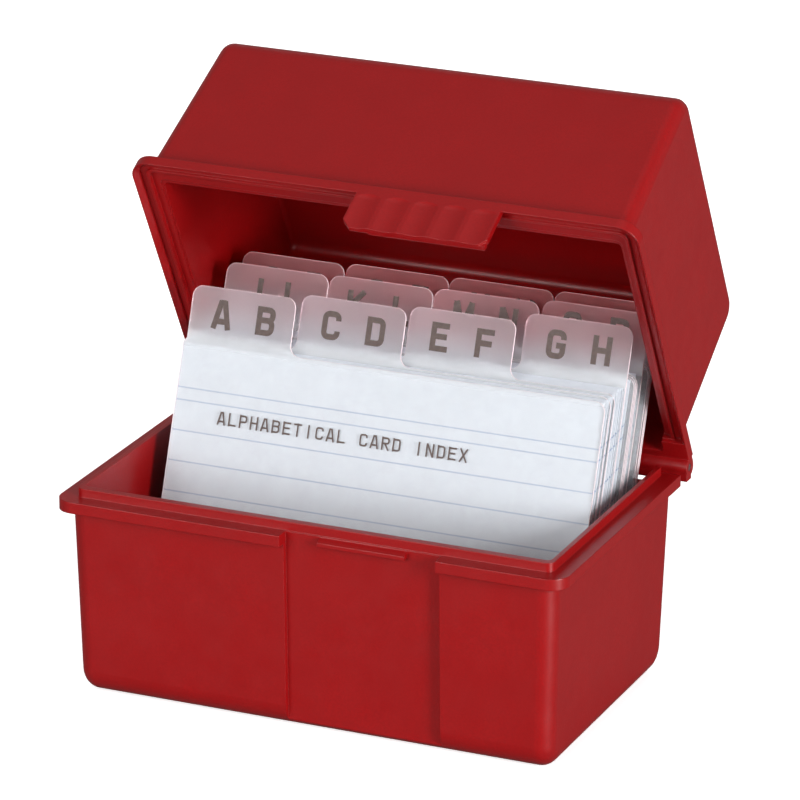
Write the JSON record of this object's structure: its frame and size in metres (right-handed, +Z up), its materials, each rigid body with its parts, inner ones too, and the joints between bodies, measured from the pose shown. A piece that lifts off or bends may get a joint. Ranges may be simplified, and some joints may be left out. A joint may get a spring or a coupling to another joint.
{
  "type": "card index box",
  "caption": "Small desk box with a hinged lid and thumb tab, holding a leaning pack of ruled index cards between alphabet tab dividers.",
  "frame": {"origin": "middle of the base's flat underside", "axes": "+X to the right as seen from the front, +Y to the hinge at the back, +Z up"},
  "size_m": [0.088, 0.0823, 0.0948],
  "materials": {
    "red_plastic": "satin",
    "steel": "satin",
    "divider_film": "matte",
    "card_stock": "matte"
  },
  "bodies": {
    "box": {"base_box": "red_plastic", "hinge_pin": "steel"},
    "lid": {"lid": "red_plastic"},
    "leaf_ab": {"divider_ab": "divider_film", "cards_ab": "card_stock"},
    "leaf_cd": {"divider_cd": "divider_film", "cards_cd": "card_stock"},
    "leaf_ef": {"divider_ef": "divider_film", "cards_ef": "card_stock"},
    "leaf_gh": {"divider_gh": "divider_film", "cards_gh": "card_stock"},
    "leaf_ij": {"divider_ij": "divider_film", "cards_ij": "card_stock"},
    "leaf_kl": {"divider_kl": "divider_film", "cards_kl": "card_stock"},
    "leaf_mn": {"divider_mn": "divider_film", "cards_mn": "card_stock"},
    "leaf_op": {"divider_op": "divider_film", "cards_op": "card_stock"},
    "leaf_qr": {"divider_qr": "divider_film", "cards_qr": "card_stock"},
    "leaf_st": {"divider_st": "divider_film"},
    "leaf_uv": {"divider_uv": "divider_film"},
    "rear_group": {"divider_wz": "divider_film", "cards_wz": "card_stock"}
  },
  "joints": [
    {"name": "lid_hinge", "type": "hinge", "parent": "box", "child": "lid", "pos_m": [0, 0.0275, 0.0338], "axis": [1, 0, 0], "range_deg": [0, 61.4]},
    {"name": "pack_slide", "type": "slide", "parent": "box", "child": "rear_group", "axis": [0, -1, 0], "range_m": [0, 0.00801]},
    {"name": "leaf_ab_tilt", "type": "hinge", "parent": "rear_group", "child": "leaf_ab", "pos_m": [0, -0.0113, 0.00175], "axis": [1, 0, 0], "range_deg": [0, 16]},
    {"name": "leaf_cd_tilt", "type": "hinge", "parent": "rear_group", "child": "leaf_cd", "pos_m": [0, -0.00879, 0.00175], "axis": [1, 0, 0], "range_deg": [0, 14.55]},
    {"name": "leaf_ef_tilt", "type": "hinge", "parent": "rear_group", "child": "leaf_ef", "pos_m": [0, -0.00698, 0.00175], "axis": [1, 0, 0], "range_deg": [0, 13.09]},
    {"name": "leaf_gh_tilt", "type": "hinge", "parent": "rear_group", "child": "leaf_gh", "pos_m": [0, -0.0026, 0.00175], "axis": [1, 0, 0], "range_deg": [0, 11.64]},
    {"name": "leaf_ij_tilt", "type": "hinge", "parent": "rear_group", "child": "leaf_ij", "pos_m": [0, 0.00155, 0.00175], "axis": [1, 0, 0], "range_deg": [0, 10.18]},
    {"name": "leaf_kl_tilt", "type": "hinge", "parent": "rear_group", "child": "leaf_kl", "pos_m": [0, 0.00218, 0.00175], "axis": [1, 0, 0], "range_deg": [0, 8.73]},
    {"name": "leaf_mn_tilt", "type": "hinge", "parent": "rear_group", "child": "leaf_mn", "pos_m": [0, 0.00282, 0.00175], "axis": [1, 0, 0], "range_deg": [0, 7.27]},
    {"name": "leaf_op_tilt", "type": "hinge", "parent": "rear_group", "child": "leaf_op", "pos_m": [0, 0.00463, 0.00175], "axis": [1, 0, 0], "range_deg": [0, 5.82]},
    {"name": "leaf_qr_tilt", "type": "hinge", "parent": "rear_group", "child": "leaf_qr", "pos_m": [0, 0.00784, 0.00175], "axis": [1, 0, 0], "range_deg": [0, 4.37]},
    {"name": "leaf_st_tilt", "type": "hinge", "parent": "rear_group", "child": "leaf_st", "pos_m": [0, 0.00872, 0.00175], "axis": [1, 0, 0], "range_deg": [0, 2.91]},
    {"name": "leaf_uv_tilt", "type": "hinge", "parent": "rear_group", "child": "leaf_uv", "pos_m": [0, 0.00912, 0.00175], "axis": [1, 0, 0], "range_deg": [0, 1.46]}
  ],
  "couplings": [
    {"joint": "pack_slide", "follows": "lid_hinge", "m_per_rad": 0.0074652},
    {"joint": "leaf_cd_tilt", "follows": "leaf_ab_tilt", "ratio": 0.90909},
    {"joint": "leaf_ef_tilt", "follows": "leaf_ab_tilt", "ratio": 0.81818},
    {"joint": "leaf_gh_tilt", "follows": "leaf_ab_tilt", "ratio": 0.72727},
    {"joint": "leaf_ij_tilt", "follows": "leaf_ab_tilt", "ratio": 0.63636},
    {"joint": "leaf_kl_tilt", "follows": "leaf_ab_tilt", "ratio": 0.54546},
    {"joint": "leaf_mn_tilt", "follows": "leaf_ab_tilt", "ratio": 0.45454},
    {"joint": "leaf_op_tilt", "follows": "leaf_ab_tilt", "ratio": 0.36364},
    {"joint": "leaf_qr_tilt", "follows": "leaf_ab_tilt", "ratio": 0.27273},
    {"joint": "leaf_st_tilt", "follows": "leaf_ab_tilt", "ratio": 0.18182},
    {"joint": "leaf_uv_tilt", "follows": "leaf_ab_tilt", "ratio": 0.090909}
  ]
}
